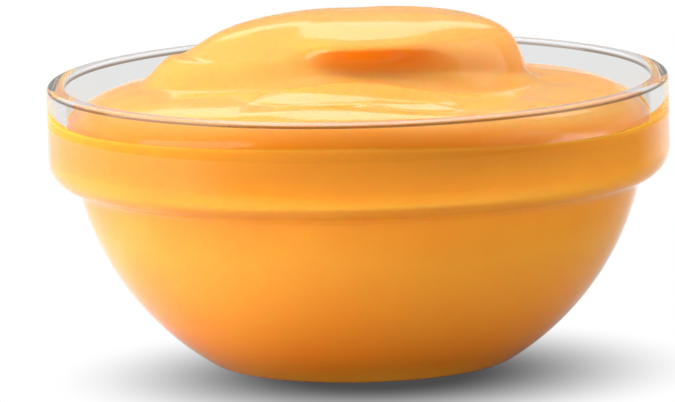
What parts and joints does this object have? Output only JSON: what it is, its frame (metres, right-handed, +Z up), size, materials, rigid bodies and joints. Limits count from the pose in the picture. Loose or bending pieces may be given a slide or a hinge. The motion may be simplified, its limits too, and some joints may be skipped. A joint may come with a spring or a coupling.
{
  "type": "bowl of nacho cheese sauce",
  "caption": "Round stacking bowl of clear pressed glass with a straight collar, filled with a folded mound of smooth nacho cheese sauce.",
  "frame": {"origin": "middle of the bowl's flat base, on the surface that it stands on", "axes": "+Z up along the bowl's axis, +X to the right and +Y away from someone who faces the bowl"},
  "size_m": [0.105, 0.105, 0.0609],
  "materials": {
    "clear_glass": "clear pressed glass, fire polished",
    "cheese_sauce": "smooth, glossy and slightly translucent cheese sauce"
  },
  "bodies": {
    "root": {"glass_bowl": "clear_glass", "cheese_fill": "cheese_sauce", "cheese_lower_fold": "cheese_sauce", "cheese_upper_fold": "cheese_sauce"}
  },
  "joints": []
}
